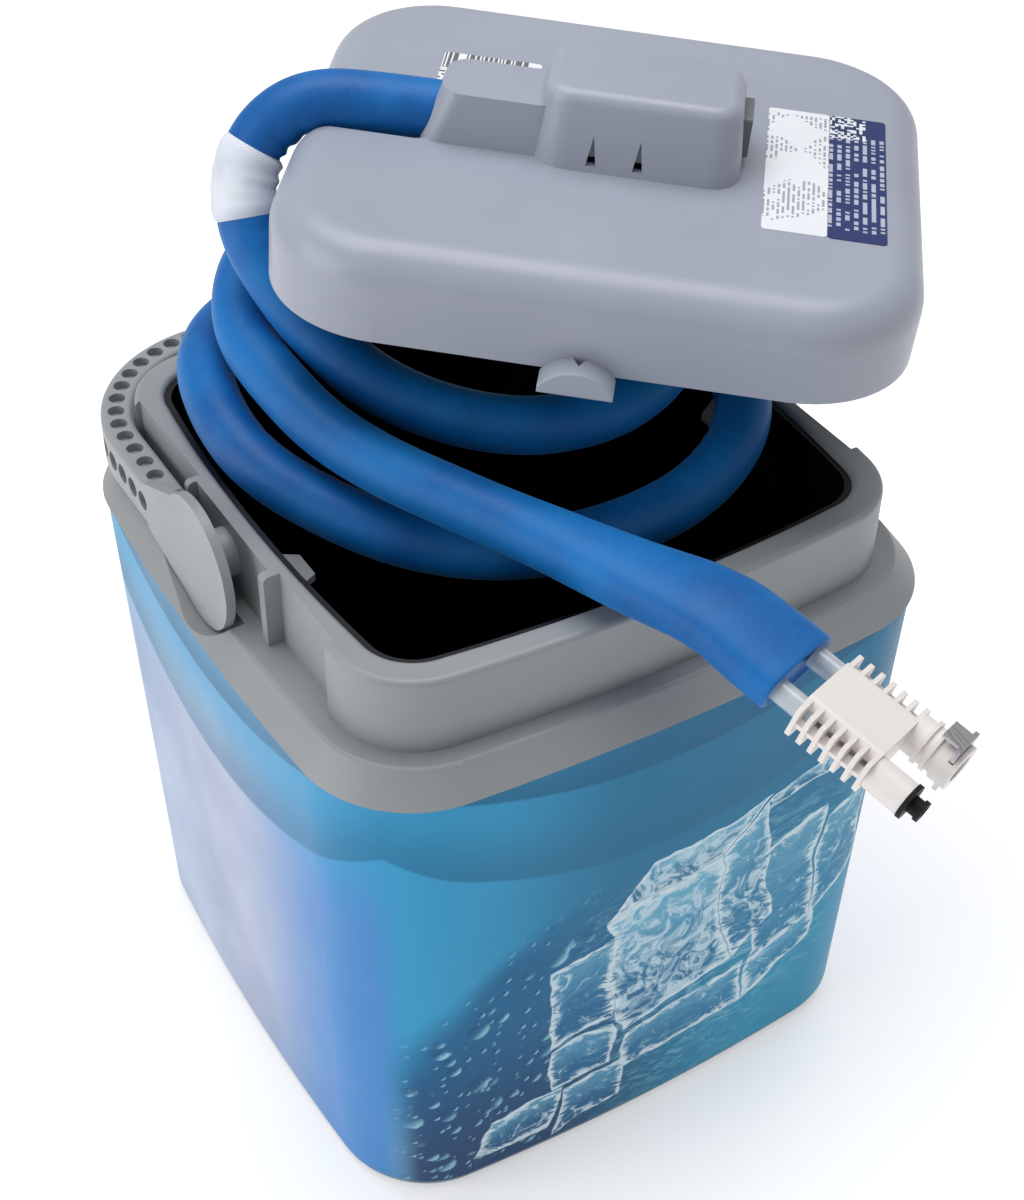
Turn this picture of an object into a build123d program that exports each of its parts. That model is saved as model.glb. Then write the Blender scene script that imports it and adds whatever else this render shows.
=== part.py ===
from build123d import *
import os
import math

os.makedirs("parts", exist_ok=True)

# ---------------------------------------------------------------- driving dimensions, mm
half_w = 120.4            # tub plan at the collar flange, corner to centre line
half_d = 119.2
bow_w = 6.0               # how far each side bulges past its corners
bow_d = 6.6
corner_r = 43.5
tub_taper = 7.2           # inset of the tub at the floor
flange_low = 221.0        # lower edge of the collar flange
flange_top = 232.0
flange_lean = 7.9         # the flange leans in by this much over its height
ring_inset = 14.9         # outside of the upright ring
rim_z = 262.0
mouth_inset = 27.5        # inside of the ring
mouth_corner = 17.0
wall = 2.5
sleeve_t = 0.6
floor_z = 14.0            # inside floor of the liner

pivot_y = 3.0             # handle pivot
pivot_z = 248.0
disc_r = 25.0
disc_in = 117.0           # inner face of each pivot disc from the centre plane
disc_t = 3.5
hub_in = 113.5            # inner face of the hub behind the disc
hub_r = 10.0
pin_r = 5.0
pin_head_r = 7.2
bail_half = 120.5         # outside of the bail
bail_back = 135.0         # outside of the grip, folded back
bail_low = 232.8
bail_high = 253.0
arm_t = 12.0
bail_corner = 58.0

lid_half_x = 110.0
lid_half_y = 95.0
lid_mid_y = -5.0
lid_corner = 42.0
lid_top = 33.0
lid_skin = 2.5
pan_t = 4.5
notch_low = -23.0         # notch for the hose, lid coordinates
notch_high = 6.0
notch_end = -62.0
mouth_y = -8.5            # hose axis in the lid
mouth_z = 37.0

column_x = -10.0          # pump column axis in the lid
column_y = -4.0
column_r = 19.0
column_len = 148.0

hose_d = 21.0
tube_d = 8.0

# the lid lies on the coiled hose, turned and a little tilted
lid_place = (
    Location((56.0, 20.0, 326.0))
    * Location((0, 0, 0), (0, 0, -38.3))
    * Location((0, 0, 0), (1.5, 0, 0))
    * Location((0, 0, 0), (0, 4.5, 0))
)

# the coupling at the free end of the hose
coupling_plane = Plane(
    origin=(10.0, -164.0, 268.0),
    x_dir=(0.9455, 0.3230, -0.0414),
    z_dir=(0.3010, -0.9154, -0.2674),
)
coupling_place = coupling_plane.location
cuff_len = 14.0


def save(part, name, place=None):
    placed = part if place is None else place * part
    placed.label = name
    export_step(placed, "parts/" + name + ".step")
    print(name, "volume", round(placed.volume / 1000, 2), "cm3", "solids", len(placed.solids()))


def tub_plan(inset, radius):
    w = half_w - inset
    d = half_d - inset
    with BuildSketch() as plan:
        with BuildLine():
            ThreePointArc((-w, -d), (0, -d - bow_d), (w, -d))
            ThreePointArc((w, -d), (w + bow_w, 0), (w, d))
            ThreePointArc((w, d), (0, d + bow_d), (-w, d))
            ThreePointArc((-w, d), (-w - bow_w, 0), (-w, -d))
        make_face()
        fillet(plan.vertices(), radius)
    return plan.sketch


# ---------------------------------------------------------------- tub
shell_top = 220.7

with BuildPart() as outer_shell:
    with BuildSketch(Plane.XY):
        add(tub_plan(tub_taper + sleeve_t, corner_r - 5))
    with BuildSketch(Plane.XY.offset(shell_top)):
        add(tub_plan(1.2 + sleeve_t, corner_r - 2))
    loft()
    fillet(outer_shell.faces().sort_by(Axis.Z)[0].edges(), 4)
    with BuildSketch(Plane.XY.offset(2.5)):
        add(tub_plan(tub_taper + sleeve_t + wall, corner_r - 8))
    with BuildSketch(Plane.XY.offset(shell_top + 1)):
        add(tub_plan(1.2 + sleeve_t + wall, corner_r - 5))
    loft(mode=Mode.SUBTRACT)
save(outer_shell.part, "tub_outer_shell")

with BuildPart() as sleeve:
    with BuildSketch(Plane.XY.offset(5)):
        add(tub_plan(tub_taper - 0.14, corner_r - 4.4))
    with BuildSketch(Plane.XY.offset(shell_top)):
        add(tub_plan(1.2, corner_r - 1.4))
    loft()
    with BuildSketch(Plane.XY.offset(4)):
        add(tub_plan(tub_taper + sleeve_t - 0.16, corner_r - 5))
    with BuildSketch(Plane.XY.offset(shell_top + 1)):
        add(tub_plan(1.2 + sleeve_t - 0.06, corner_r - 2))
    loft(mode=Mode.SUBTRACT)
save(sleeve.part, "printed_sleeve")

with BuildPart() as liner:
    with BuildSketch(Plane.XY.offset(floor_z - 2)):
        add(tub_plan(mouth_inset + 2, mouth_corner + 2))
    with BuildSketch(Plane.XY.offset(rim_z - 2)):
        add(tub_plan(mouth_inset - 2, mouth_corner + 2))
    loft()
    with BuildSketch(Plane.XY.offset(floor_z)):
        add(tub_plan(mouth_inset + 4, mouth_corner))
    with BuildSketch(Plane.XY.offset(rim_z)):
        add(tub_plan(mouth_inset, mouth_corner))
    loft(mode=Mode.SUBTRACT)
save(liner.part, "tub_liner")

with BuildPart() as insulation:
    with BuildSketch(Plane.XY.offset(2.8)):
        add(tub_plan(tub_taper + sleeve_t + wall + 0.3, corner_r - 8))
    with BuildSketch(Plane.XY.offset(211)):
        add(tub_plan(1.2 + sleeve_t + wall + 0.6, corner_r - 5))
    loft()
    with BuildSketch(Plane.XY.offset(floor_z - 2.3)):
        add(tub_plan(mouth_inset + 1.8, mouth_corner + 2))
    with BuildSketch(Plane.XY.offset(flange_low)):
        add(tub_plan(mouth_inset - 2.3, mouth_corner + 2))
    loft(mode=Mode.SUBTRACT)
save(insulation.part, "tub_insulation")

# ---------------------------------------------------------------- collar
# side view of one handle end: disc, neck and the front of the arm
with BuildSketch() as end_plate:
    with BuildLine():
        Polyline(
            (pivot_y + 2, pivot_z + disc_r - 0.5),
            (48, bail_high),
            (48, bail_low),
            (pivot_y + 6, pivot_z - disc_r + 1.2),
            close=True,
        )
    make_face()
    with Locations((pivot_y, pivot_z)):
        Circle(disc_r)

with BuildPart() as collar:
    with BuildSketch(Plane.XY.offset(flange_low)):
        add(tub_plan(0, corner_r))
    with BuildSketch(Plane.XY.offset(flange_top)):
        add(tub_plan(flange_lean, corner_r - 6))
    loft()
    fillet(collar.faces().sort_by(Axis.Z)[-1].edges(), 2)
    with BuildSketch(Plane.XY.offset(flange_top - 3)):
        add(tub_plan(ring_inset, corner_r - 13))
    extrude(amount=rim_z - flange_top + 3)
    with BuildSketch(Plane.XY.offset(flange_low - 9)):
        add(tub_plan(4.9, corner_r - 4.4))
        add(tub_plan(7.4, corner_r - 7), mode=Mode.SUBTRACT)
    extrude(amount=9.5)
    with BuildSketch(Plane.XY.offset(flange_low - 1)):
        add(tub_plan(mouth_inset - 2.2, mouth_corner + 2.2))
    extrude(amount=60, mode=Mode.SUBTRACT)
    fillet(collar.faces().sort_by(Axis.Z)[-1].edges(), 2.2)
    # hollow under the flange and, front and back, up inside the ring
    with BuildSketch(Plane.XY.offset(flange_low - 0.5)):
        add(tub_plan(17, corner_r - 15))
        add(tub_plan(22.8, mouth_corner + 5), mode=Mode.SUBTRACT)
    extrude(amount=8.5, mode=Mode.SUBTRACT)
    with BuildSketch(Plane.XY.offset(flange_low + 7)):
        add(tub_plan(17.9, corner_r - 16))
        add(tub_plan(22.8, mouth_corner + 5), mode=Mode.SUBTRACT)
        Rectangle(150, 300, mode=Mode.INTERSECT)
    extrude(amount=30.5, mode=Mode.SUBTRACT)
    # recesses each side: behind, around and ahead of the pivot disc
    with BuildSketch(Plane.XY.offset(flange_top + 0.2)):
        for side in (-1, 1):
            with Locations((side * 120, 57.5)):
                Rectangle(29.6, 53)
            with Locations((side * 122.3, -0.5)):
                Rectangle(29.6, 57)
            with Locations((side * 119.6, -53)):
                Rectangle(29.6, 40)
    extrude(amount=40, mode=Mode.SUBTRACT)
    for side in (-1, 1):
        with BuildSketch(Plane((side * 112.7, 0, 0), x_dir=(0, 1, 0), z_dir=(1, 0, 0))):
            offset(end_plate.sketch, amount=1.3)
        extrude(amount=side * 20, mode=Mode.SUBTRACT)
        with BuildSketch(Plane((side * 106.0, 0, 0), x_dir=(0, 1, 0), z_dir=(1, 0, 0))):
            with Locations((pivot_y, pivot_z)):
                Circle(9)
        extrude(amount=side * 7.1)
        with BuildSketch(Plane((side * 103, 0, 0), x_dir=(0, 1, 0), z_dir=(1, 0, 0))):
            with Locations((pivot_y, pivot_z)):
                Circle(pin_r)
        extrude(amount=side * 20, mode=Mode.SUBTRACT)
save(collar.part, "rim_collar")

# support tabs inside the mouth, one each side
with BuildPart() as tabs:
    with BuildSketch(Plane.XY.offset(242)):
        for side in (-1, 1):
            with BuildLine():
                Polyline(
                    (side * 98.0, -26),
                    (side * 86, -20),
                    (side * 86, -8),
                    (side * 98.5, 0),
                    close=True,
                )
            make_face()
    extrude(amount=3)
save(tabs.part, "support_tabs")

# pivot pins, one each side, with a head captive in the disc
with BuildPart() as pins:
    for side in (-1, 1):
        with BuildSketch(Plane((side * 103, 0, 0), x_dir=(0, 1, 0), z_dir=(1, 0, 0))):
            with Locations((pivot_y, pivot_z)):
                Circle(pin_r)
        extrude(amount=side * 12.9)
        with BuildSketch(Plane((side * 115.9, 0, 0), x_dir=(0, 1, 0), z_dir=(1, 0, 0))):
            with Locations((pivot_y, pivot_z)):
                Circle(pin_head_r)
        extrude(amount=side * 1.8)
save(pins.part, "handle_pivot_pins")

# ---------------------------------------------------------------- handle
straight_back = bail_back - bail_corner
half_grip = bail_half - bail_corner

with BuildPart() as handle:
    with BuildSketch(Plane.XY.offset(bail_low)):
        with BuildLine():
            Polyline((-bail_half, 38), (-bail_half, straight_back))
            RadiusArc((-bail_half, straight_back), (-half_grip, bail_back), bail_corner)
            Line((-half_grip, bail_back), (half_grip, bail_back))
            RadiusArc((half_grip, bail_back), (bail_half, straight_back), bail_corner)
            Line((bail_half, straight_back), (bail_half, 38))
            Line((bail_half, 38), (bail_half - arm_t, 38))
            Line((bail_half - arm_t, 38), (bail_half - arm_t, straight_back))
            RadiusArc(
                (bail_half - arm_t, straight_back),
                (half_grip, bail_back - arm_t),
                -(bail_corner - arm_t),
            )
            Line((half_grip, bail_back - arm_t), (-half_grip, bail_back - arm_t))
            RadiusArc(
                (-half_grip, bail_back - arm_t),
                (-bail_half + arm_t, straight_back),
                -(bail_corner - arm_t),
            )
            Line((-bail_half + arm_t, straight_back), (-bail_half + arm_t, 38))
            Line((-bail_half + arm_t, 38), (-bail_half, 38))
        make_face()
    extrude(amount=bail_high - bail_low)
    fillet(handle.faces().group_by(Axis.Z)[-1].edges(), 2.2)
    fillet(handle.faces().group_by(Axis.Z)[0].edges(), 3.0)
    for side in (-1, 1):
        with BuildSketch(Plane((side * disc_in, 0, 0), x_dir=(0, 1, 0), z_dir=(1, 0, 0))):
            add(end_plate.sketch)
        extrude(amount=side * disc_t)
        with BuildSketch(Plane((side * hub_in, 0, 0), x_dir=(0, 1, 0), z_dir=(1, 0, 0))):
            with Locations((pivot_y, pivot_z)):
                Circle(hub_r)
        extrude(amount=side * (disc_in - hub_in))
        with BuildSketch(Plane((side * hub_in, 0, 0), x_dir=(0, 1, 0), z_dir=(1, 0, 0))):
            with Locations((pivot_y, pivot_z)):
                Circle(pin_r + 0.08)
        extrude(amount=side * 4.4, mode=Mode.SUBTRACT)
        with BuildSketch(Plane((side * 115.6, 0, 0), x_dir=(0, 1, 0), z_dir=(1, 0, 0))):
            with Locations((pivot_y, pivot_z)):
                Circle(pin_head_r + 0.08)
        extrude(amount=side * 2.4, mode=Mode.SUBTRACT)
    # rows of round finger pockets, outside and on top
    side_pockets = []
    top_pockets = []
    mid_z = 243.6
    for k in range(3):
        y = 50.5 + 9.4 * k
        for side in (-1, 1):
            side_pockets.append(Plane((side * (bail_half + 1), y, mid_z), z_dir=(-side, 0, 0)))
            top_pockets.append(Plane((side * (bail_half - arm_t / 2), y, bail_high + 1), z_dir=(0, 0, -1)))
    for k in range(10):
        turn = math.radians(1.5 + 9.4 * k)
        for side in (-1, 1):
            cx = side * half_grip + side * (bail_corner + 1) * math.cos(turn)
            cy = straight_back + (bail_corner + 1) * math.sin(turn)
            toward = (-side * math.cos(turn), -math.sin(turn), 0)
            side_pockets.append(Plane((cx, cy, mid_z), z_dir=toward))
            tx = side * half_grip + side * (bail_corner - arm_t / 2) * math.cos(turn)
            ty = straight_back + (bail_corner - arm_t / 2) * math.sin(turn)
            top_pockets.append(Plane((tx, ty, bail_high + 1), z_dir=(0, 0, -1)))
    for k in range(13):
        x = -56.4 + 9.4 * k
        side_pockets.append(Plane((x, bail_back + 1, mid_z), z_dir=(0, -1, 0)))
        top_pockets.append(Plane((x, bail_back - arm_t / 2, bail_high + 1), z_dir=(0, 0, -1)))
    with BuildSketch(*side_pockets):
        Circle(3.8)
    extrude(amount=7, mode=Mode.SUBTRACT)
    with BuildSketch(*top_pockets):
        Circle(3.2)
    extrude(amount=4.2, mode=Mode.SUBTRACT)
save(handle.part, "carry_handle")

# ---------------------------------------------------------------- lid, in its own coordinates
def lid_plan(inset_x, inset_y, radius, grow):
    """Lid outline with the hose notch in its left side."""
    edge = lid_half_x - inset_x
    centre = (notch_low + notch_high) / 2
    with BuildSketch() as plan:
        with Locations((0, lid_mid_y)):
            RectangleRounded(2 * edge, 2 * (lid_half_y - inset_y), radius)
        with Locations((notch_end + grow, centre)):
            Rectangle(80, notch_high - notch_low + 2 * grow, align=(Align.MAX, Align.CENTER), mode=Mode.SUBTRACT)
        mouth = plan.vertices().filter_by(lambda v: abs(v.X + edge) < 0.1 and abs(v.Y - centre) < 30)
        fillet(mouth, 11 - grow)
        ends = plan.vertices().filter_by(lambda v: abs(v.X - notch_end - grow) < 0.1)
        fillet(ends, 7 + grow)
    return plan.sketch

def bump_part(grow, low):
    """Pump housing and hose neck standing on the lid; grow < 0 gives its hollow."""
    with BuildPart() as body:
        with BuildSketch(Plane.XY.offset(low)):
            with Locations((8.5, -4)):
                RectangleRounded(73 + 2 * grow, 52 + 2 * grow, 12 + grow)
        with BuildSketch(Plane.XY.offset(59 + grow)):
            with Locations((8.5, -5)):
                RectangleRounded(67 + 2 * grow, 38 + 2 * grow, 10 + grow)
        loft()
        if grow == 0:
            fillet(body.faces().sort_by(Axis.Z)[-1].edges(), 5)
        with BuildSketch(Plane.XY.offset(low)):
            with Locations((-42, -8.5)):
                RectangleRounded(49 + 2 * grow, 31 + 2 * grow, 6 + grow)
        with BuildSketch(Plane.XY.offset(51 + grow)):
            with Locations((-40, -8.5)):
                RectangleRounded(41 + 2 * grow, 26 + 2 * grow, 8 + grow)
        loft()
    return body.part

with BuildPart() as lid_outer:
    with BuildSketch(Plane.XY.offset(0.5)):
        with Locations((0, lid_mid_y)):
            RectangleRounded(2 * lid_half_x, 2 * lid_half_y, lid_corner)
    extrude(amount=lid_top - 0.5)
    fillet(lid_outer.faces().sort_by(Axis.Z)[-1].edges(), 14)

with BuildPart() as lid_inner:
    with BuildSketch(Plane.XY):
        with Locations((0, lid_mid_y)):
            RectangleRounded(2 * lid_half_x - 5, 2 * lid_half_y - 5, lid_corner - 2.5)
    extrude(amount=lid_top - lid_skin)
    fillet(lid_inner.faces().sort_by(Axis.Z)[-1].edges(), 11.5)
    with BuildSketch(Plane.XY):
        add(lid_plan(2.5, 2.5, lid_corner - 2.5, 2.5))
    extrude(amount=40, mode=Mode.INTERSECT)

bump_outer = bump_part(0, lid_top - 1.5)
bump_inner = bump_part(-2.5, lid_top - 5)

with BuildPart() as lid_cover:
    add(lid_outer.part)
    with BuildSketch(Plane.XY):
        add(lid_plan(0, 0, lid_corner, 0))
    extrude(amount=40, mode=Mode.INTERSECT)
    add(bump_outer)
    add(lid_inner.part, mode=Mode.SUBTRACT)
    add(bump_inner, mode=Mode.SUBTRACT)
    # bore for the hose through the neck
    with BuildSketch(Plane((-75, mouth_y, mouth_z), x_dir=(0, 1, 0), z_dir=(1, 0, 0))):
        Circle(hose_d / 2 + 0.4)
    extrude(amount=17.2, mode=Mode.SUBTRACT)
    # two wedge marks on the front of the housing
    for x in (-6.5, 9.5):
        with BuildSketch(Plane((x, -30, 40), x_dir=(1, 0, 0), z_dir=(0, -1, 0))):
            Polygon((-1.8, -5), (1.8, -5), (0, 5.5), align=None)
        extrude(amount=-4.4, mode=Mode.SUBTRACT)
    # opening for the power socket in the end wall
    with BuildSketch(Plane((40, -3.5, 44), x_dir=(0, 1, 0), z_dir=(1, 0, 0))):
        Rectangle(17, 15)
    extrude(amount=20, mode=Mode.SUBTRACT)
    # screw bosses
    with BuildSketch(Plane.XY.offset(pan_t + 0.5)):
        with Locations((0, lid_mid_y)), GridLocations(150, 120, 2, 2):
            Circle(4)
    extrude(amount=lid_top - pan_t - 2)
    with BuildSketch(Plane.XY.offset(pan_t)):
        with Locations((0, lid_mid_y)), GridLocations(150, 120, 2, 2):
            Circle(1.6)
    extrude(amount=13, mode=Mode.SUBTRACT)
save(lid_cover.part, "lid_cover", lid_place)

with BuildPart() as lid_pan:
    with BuildSketch(Plane.XY):
        add(lid_plan(2.8, 2.8, lid_corner - 2.8, 2.8))
    extrude(amount=pan_t + 0.5)
    with BuildSketch(Plane.XY.offset(-8)):
        add(lid_plan(20, 12, 22, 4))
        add(lid_plan(23, 15, 19, 7), mode=Mode.SUBTRACT)
    extrude(amount=8.5)
    with BuildSketch(Plane.XY.offset(-1)):
        with Locations((column_x, column_y)):
            Circle(15.5)
        with Locations((-34, -13.5)):
            Circle(tube_d / 2)
        with Locations((0, lid_mid_y)), GridLocations(150, 120, 2, 2):
            Circle(1.6)
    extrude(amount=10, mode=Mode.SUBTRACT)
save(lid_pan.part, "lid_pan", lid_place)

with BuildPart() as lid_screws:
    with BuildSketch(Plane.XY.offset(-2.2)):
        with Locations((0, lid_mid_y)), GridLocations(150, 120, 2, 2):
            Circle(3.2)
    extrude(amount=2.2)
    with BuildSketch(Plane.XY):
        with Locations((0, lid_mid_y)), GridLocations(150, 120, 2, 2):
            Circle(1.6)
    extrude(amount=14)
    with BuildSketch(Plane.XY.offset(-2.2)):
        with Locations((0, lid_mid_y)), GridLocations(150, 120, 2, 2):
            Rectangle(3.6, 0.9)
            Rectangle(0.9, 3.6)
    extrude(amount=1.2, mode=Mode.SUBTRACT)
save(lid_screws.part, "lid_screws", lid_place)

with BuildPart() as lid_insulation:
    with BuildSketch(Plane.XY.offset(pan_t + 0.6)):
        add(lid_plan(12, 12, 30, 4))
        with Locations((column_x, column_y)):
            Circle(18, mode=Mode.SUBTRACT)
        with Locations((-34, -13.5)):
            Circle(5, mode=Mode.SUBTRACT)
        with Locations((0, lid_mid_y)), GridLocations(150, 120, 2, 2):
            Circle(5, mode=Mode.SUBTRACT)
    extrude(amount=13)
save(lid_insulation.part, "lid_insulation", lid_place)

with BuildPart() as gasket:
    with BuildSketch(Plane.XY.offset(-4.5)):
        add(lid_plan(18.2, 10.2, 24, 2.2))
        add(lid_plan(20, 12, 22, 4), mode=Mode.SUBTRACT)
    extrude(amount=3)
save(gasket.part, "lid_gasket", lid_place)

def lid_label(name, x, y, width, depth):
    with BuildPart() as label:
        with BuildSketch(Plane.XY.offset(lid_top)):
            with Locations((x, y)):
                RectangleRounded(width, depth, 1.5)
        extrude(amount=0.3)
    save(label.part, name, lid_place)

lid_label("rating_label", -49, 31, 36, 22)
lid_label("instruction_label", 64, -8, 22, 84)
lid_label("identity_label", 85.2, -8, 20, 84)

with BuildPart() as power_jack:
    with BuildSketch(Plane((41, -3.5, 44), x_dir=(0, 1, 0), z_dir=(1, 0, 0))):
        RectangleRounded(16.9, 14.9, 1.5)
    extrude(amount=5)
    with BuildSketch(Plane((38, -3.5, 44), x_dir=(0, 1, 0), z_dir=(1, 0, 0))):
        Circle(4)
    extrude(amount=3)
    with BuildSketch(Plane((46, -3.5, 44), x_dir=(0, 1, 0), z_dir=(1, 0, 0))):
        Circle(3)
    extrude(amount=-6, mode=Mode.SUBTRACT)
    with BuildSketch(Plane((39.8, -3.5, 44), x_dir=(0, 1, 0), z_dir=(1, 0, 0))):
        Circle(0.9)
    extrude(amount=5)
save(power_jack.part, "power_socket", lid_place)

# pump column hanging from the pan
with BuildPart() as column:
    with BuildSketch(Plane.XY):
        with Locations((column_x, column_y)):
            Circle(column_r)
            Circle(column_r - 2, mode=Mode.SUBTRACT)
    extrude(amount=-column_len)
    with BuildSketch(Plane.XY.offset(-14)):
        with Locations((column_x, column_y)):
            Circle(column_r - 1.5)
            Circle(3, mode=Mode.SUBTRACT)
        with Locations((column_x - 12, column_y)):
            Circle(4.3, mode=Mode.SUBTRACT)
    extrude(amount=2)
save(column.part, "pump_column", lid_place)

volute_z = -column_len + 6
with BuildPart() as volute:
    with BuildSketch(Plane.XY.offset(volute_z)):
        with Locations((column_x, column_y)):
            Circle(column_r - 2)
            Circle(12.6, mode=Mode.SUBTRACT)
    extrude(amount=12)
    with BuildSketch(Plane.XY.offset(volute_z + 12)):
        with Locations((column_x, column_y)):
            Circle(column_r - 2)
            Circle(1.56, mode=Mode.SUBTRACT)
        with Locations((column_x - 12, column_y)):
            Circle(tube_d / 2 - 1.2, mode=Mode.SUBTRACT)
    extrude(amount=3)
save(volute.part, "pump_volute", lid_place)

with BuildPart() as screen:
    with BuildSketch(Plane.XY.offset(-column_len)):
        with Locations((column_x, column_y)):
            Circle(column_r - 2)
        with Locations((column_x, column_y)):
            with PolarLocations(6, 6):
                Circle(2, mode=Mode.SUBTRACT)
            with PolarLocations(12, 12):
                Circle(2, mode=Mode.SUBTRACT)
    extrude(amount=2.5)
save(screen.part, "intake_screen", lid_place)

with BuildPart() as impeller:
    with BuildSketch(Plane.XY.offset(volute_z + 3)):
        with Locations((column_x, column_y)):
            Circle(12)
    extrude(amount=1.6)
    with BuildSketch(Plane.XY.offset(volute_z + 4)):
        with Locations((column_x, column_y)):
            Circle(3.5)
            with PolarLocations(7, 6):
                Rectangle(9, 1.4)
    extrude(amount=6)
    with BuildSketch(Plane.XY.offset(volute_z + 4)):
        with Locations((column_x, column_y)):
            Circle(1.5)
    extrude(amount=36 - volute_z - 4.5)
save(impeller.part, "impeller_and_shaft", lid_place)

motor_z = lid_top - lid_skin    # underside of the lid skin
with BuildPart() as motor:
    with BuildSketch(Plane.XY.offset(motor_z)):
        with Locations((column_x, column_y)):
            Circle(12)
    extrude(amount=24)
    fillet(motor.faces().sort_by(Axis.Z)[-1].edges(), 1.5)
    with BuildSketch(Plane.XY.offset(motor_z)):
        with Locations((column_x, column_y)):
            Circle(1.56)
    extrude(amount=6, mode=Mode.SUBTRACT)
save(motor.part, "pump_motor", lid_place)

with BuildPart() as motor_bracket:
    with BuildSketch(Plane.XY.offset(motor_z - 3)):
        with Locations((5, -4)):
            Rectangle(64, 60)
        with Locations((column_x, column_y)):
            Circle(3, mode=Mode.SUBTRACT)
        with Locations((-30, -4.5)):
            Rectangle(14, 12, mode=Mode.SUBTRACT)
    extrude(amount=3)
save(motor_bracket.part, "motor_bracket", lid_place)

with BuildPart() as board:
    with BuildSketch(Plane.XY.offset(motor_z)):
        with Locations((22, -4)):
            Rectangle(26, 38)
    extrude(amount=1.6)
    with BuildSketch(Plane.XY.offset(motor_z + 1.6)):
        with Locations((20, -14)):
            Rectangle(8, 8)
        with Locations((25, 6), (17, 8)):
            Rectangle(4, 6)
    extrude(amount=3)
save(board.part, "circuit_board", lid_place)

def hollow_tube(points, radius, bend):
    with BuildPart() as tube:
        with BuildLine() as path:
            FilletPolyline(*points, radius=bend)
        with BuildSketch(Plane(path.line @ 0, z_dir=path.line % 0)):
            Circle(radius)
            Circle(radius - 1.2, mode=Mode.SUBTRACT)
        sweep()
    return tube.part

supply_points = (
    (column_x - 12, -4, volute_z + 15),
    (column_x - 12, -4, 18),
    (-42, -4, mouth_z),
    (-57.5, -4, mouth_z),
)
return_points = (
    (-57.5, -13, mouth_z),
    (-45, -13, mouth_z),
    (-34, -13.5, 24),
    (-34, -13.5, -10),
)
save(hollow_tube(supply_points, tube_d / 2, 9), "supply_tube", lid_place)
save(hollow_tube(return_points, tube_d / 2, 7), "return_tube", lid_place)

with BuildPart() as gland:
    with BuildSketch(Plane((-57.8, mouth_y, mouth_z), x_dir=(0, 1, 0), z_dir=(1, 0, 0))):
        Circle(10.9)
        with Locations((0, 18.1 - mouth_z)):
            Rectangle(21.8, 12, align=(Align.CENTER, Align.MIN))
    extrude(amount=7)
    with BuildSketch(Plane((-57.8, mouth_y, mouth_z), x_dir=(0, 1, 0), z_dir=(1, 0, 0))):
        with Locations((4.5, 0), (-4.5, 0)):
            Circle(tube_d / 2)
    extrude(amount=7, mode=Mode.SUBTRACT)
save(gland.part, "hose_gland", lid_place)

# arched thumb tab on the front edge
with BuildPart() as tab:
    with BuildSketch(Plane((0, lid_mid_y - lid_half_y, 0), x_dir=(1, 0, 0), z_dir=(0, -1, 0))):
        with BuildLine():
            Line((13, -3), (13, -0.5))
            ThreePointArc((13, -0.5), (0.5, 6.0), (-12, -0.5))
            Line((-12, -0.5), (-12, -3))
            Line((-12, -3), (13, -3))
        make_face()
    extrude(amount=9.5)
    fillet(tab.faces().sort_by(Axis.Y)[0].edges(), 0.7)
    with BuildSketch(Plane.XY.offset(3)):
        with Locations((0.5, lid_mid_y - lid_half_y)):
            Polygon((-2.2, 0), (2.2, 0), (0, -4.5), align=None)
    extrude(amount=4, mode=Mode.SUBTRACT)
save(tab.part, "lid_thumb_tab", lid_place)

# ---------------------------------------------------------------- hose
hose_points = [
    Vector(*(lid_place * Location((-57.8, mouth_y, mouth_z))).position),
    Vector(*(lid_place * Location((-82, mouth_y, mouth_z))).position),
    Vector(-34, 73, 371),
    Vector(-51, 78, 361),
    Vector(-61, 75, 346),
    Vector(-64, 67, 329),
    Vector(-60, 54, 315),
    Vector(-53, 37, 300),
    Vector(-42, 15, 287),
    Vector(-21, -7, 279),
    Vector(7, -23, 275),
    Vector(39, -28, 278),
    Vector(68, -17, 287),
    Vector(91, 8, 300),
    Vector(97, 43, 301),
    Vector(87, 77, 296),
    Vector(59, 98, 289),
    Vector(21, 103, 282),
    Vector(-20, 104.5, 277),
    Vector(-56, 104, 275),
    Vector(-80, 83, 275),
    Vector(-90, 50, 273.5),
    Vector(-88, 20, 266),
    Vector(-72, -8, 258),
    Vector(-48, -34, 251),
    Vector(-18, -52, 249),
    Vector(17, -59, 250),
    Vector(50, -59, 256),
    Vector(75, -48, 265),
    Vector(90, -24, 271.5),
    Vector(89, 8, 274),
    Vector(78, 40, 279),
    Vector(53, 64, 289),
    Vector(24, 84, 299.5),
    Vector(-9, 99, 305),
    Vector(-37, 101, 307),
    Vector(-59, 87, 302),
    Vector(-72, 62, 294),
    Vector(-72, 32, 289),
    Vector(-68, 5, 284),
    Vector(-58, -22, 281),
    Vector(-43, -50, 279),
    Vector(-27, -80, 277),
    Vector(-12, -109.4, 275.8),
    coupling_plane.origin - coupling_plane.z_dir * (cuff_len + 17),
    coupling_plane.origin - coupling_plane.z_dir * cuff_len,
]

runs = [(b - a).length for a, b in zip(hose_points, hose_points[1:])]
radii = []
for k in range(1, len(hose_points) - 1):
    before = (hose_points[k] - hose_points[k - 1]).normalized()
    after = (hose_points[k + 1] - hose_points[k]).normalized()
    half_turn = math.acos(max(-1.0, min(1.0, before.dot(after)))) / 2
    radii.append(0.45 * min(runs[k - 1], runs[k]) / math.tan(half_turn))
print("hose bend radii", [round(r, 1) for r in radii])

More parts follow.
